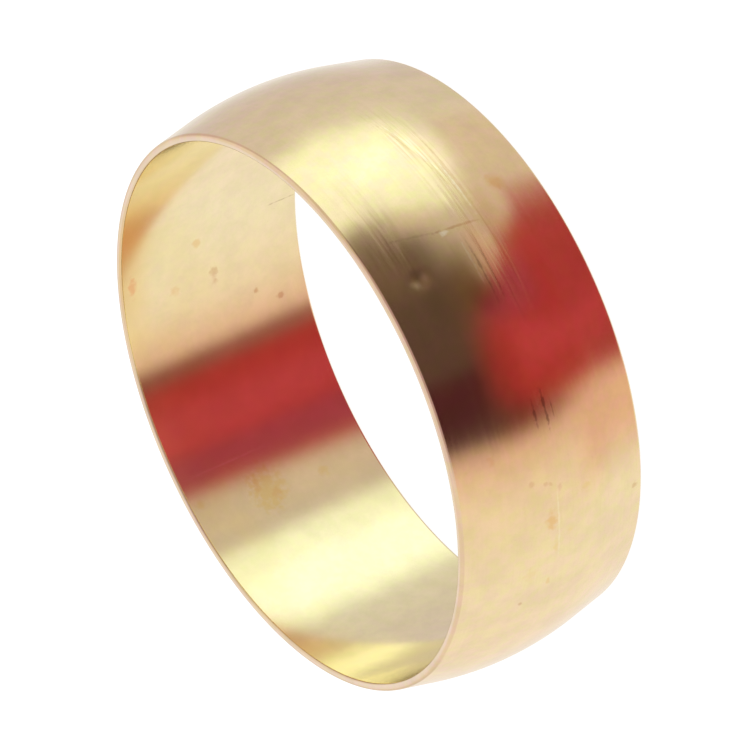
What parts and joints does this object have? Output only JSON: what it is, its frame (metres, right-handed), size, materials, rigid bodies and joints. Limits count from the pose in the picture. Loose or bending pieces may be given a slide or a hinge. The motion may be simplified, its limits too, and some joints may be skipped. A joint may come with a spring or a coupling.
{
  "type": "compression olive",
  "caption": "Barrel-shaped brass sealing ring with a straight bore, a shallow crest, two short conical flanks and thin rounded rims, squeezed between nut and body of a compression pipe fitting.",
  "frame": {"origin": "centre of the lower rim, where the bore's axis meets the plane that the olive stands on", "axes": "+Z runs along the bore's axis, from the rim that the olive stands on to the other rim"},
  "size_m": [0.024, 0.024, 0.0084],
  "materials": {
    "olive_brass": "bright turned brass, lightly tumbled, with fine turning lines round the outside and a few faint stains"
  },
  "bodies": {
    "root": {"olive": "olive_brass"}
  },
  "joints": []
}
